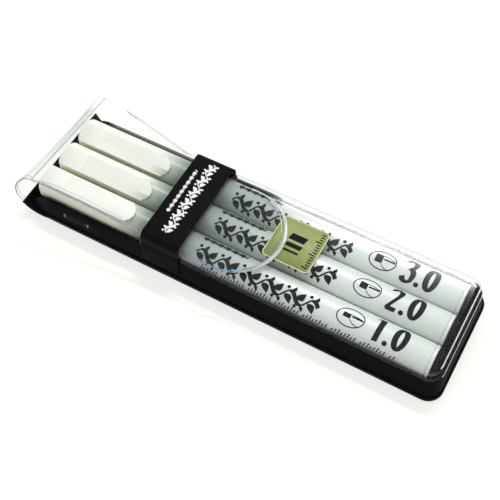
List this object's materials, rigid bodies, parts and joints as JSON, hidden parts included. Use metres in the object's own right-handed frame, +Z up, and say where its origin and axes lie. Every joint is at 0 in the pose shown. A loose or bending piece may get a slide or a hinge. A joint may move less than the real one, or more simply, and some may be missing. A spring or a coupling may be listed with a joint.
{
  "type": "calligraphy pen set",
  "caption": "Chisel felt pens side by side in a flat black backed wallet with a clear front, a cross strap and a clear flap that tucks under the strap.",
  "frame": {"origin": "centre of the bounding box, on the plane the case lies on", "axes": "+X along the pens from the caps to the tail plugs, +Y across the case from the near pen to the far pen, +Z up out of the clear front"},
  "size_m": [0.1526, 0.0426, 0.0199],
  "materials": {
    "black_sheet": "soft black vinyl sheet, low gloss with a fine grain",
    "black_band": "black vinyl band with printed pale pen strokes",
    "clear_sheet": "clear formed vinyl, glossy",
    "clear_flap": "clear flexible vinyl, glossy, slightly blue at the cut edge",
    "label": "olive foil label, bare",
    "barrel": "silver grey white, satin, black print",
    "cap": "cream white, satin",
    "tail_plug": "black, satin",
    "holder": "black, satin",
    "nib_felt": "dense felt, black with ink",
    "ink_felt": "fibre core, soaked with ink"
  },
  "bodies": {
    "case": {"back_sheet": "black_sheet", "end_tab": "black_sheet", "side_wall": "black_sheet", "clear_front": "clear_sheet", "strap": "black_band", "sticker": "label"},
    "flap": {"flap": "clear_flap"},
    "pen_1": {"barrel_1": "barrel", "plug_1": "tail_plug", "holder_1": "holder", "nib_1": "nib_felt", "reservoir_1": "ink_felt"},
    "cap_1": {"cap_1": "cap"},
    "pen_2": {"barrel_2": "barrel", "plug_2": "tail_plug", "holder_2": "holder", "nib_2": "nib_felt", "reservoir_2": "ink_felt"},
    "cap_2": {"cap_2": "cap"},
    "pen_3": {"barrel_3": "barrel", "plug_3": "tail_plug", "holder_3": "holder", "nib_3": "nib_felt", "reservoir_3": "ink_felt"},
    "cap_3": {"cap_3": "cap"}
  },
  "joints": [
    {"name": "flap_swing", "type": "hinge", "parent": "case", "child": "flap", "pos_m": [-0.07209, 0, 0.00504], "axis": [0, -1, 0], "range_deg": [0, 130], "deforming": ["flap"]},
    {"name": "pen_1_slide", "type": "slide", "parent": "case", "child": "pen_1", "axis": [-1, 0, 0], "range_m": [0, 0.15], "deforming": ["end_tab"]},
    {"name": "cap_1_pull", "type": "slide", "parent": "pen_1", "child": "cap_1", "axis": [-1, 0, 0], "range_m": [0, 0.045], "deforming": ["end_tab"]},
    {"name": "pen_2_slide", "type": "slide", "parent": "case", "child": "pen_2", "axis": [-1, 0, 0], "range_m": [0, 0.15], "deforming": ["end_tab"]},
    {"name": "cap_2_pull", "type": "slide", "parent": "pen_2", "child": "cap_2", "axis": [-1, 0, 0], "range_m": [0, 0.045], "deforming": ["end_tab"]},
    {"name": "pen_3_slide", "type": "slide", "parent": "case", "child": "pen_3", "axis": [-1, 0, 0], "range_m": [0, 0.15], "deforming": ["end_tab"]},
    {"name": "cap_3_pull", "type": "slide", "parent": "pen_3", "child": "cap_3", "axis": [-1, 0, 0], "range_m": [0, 0.045], "deforming": ["end_tab"]}
  ]
}
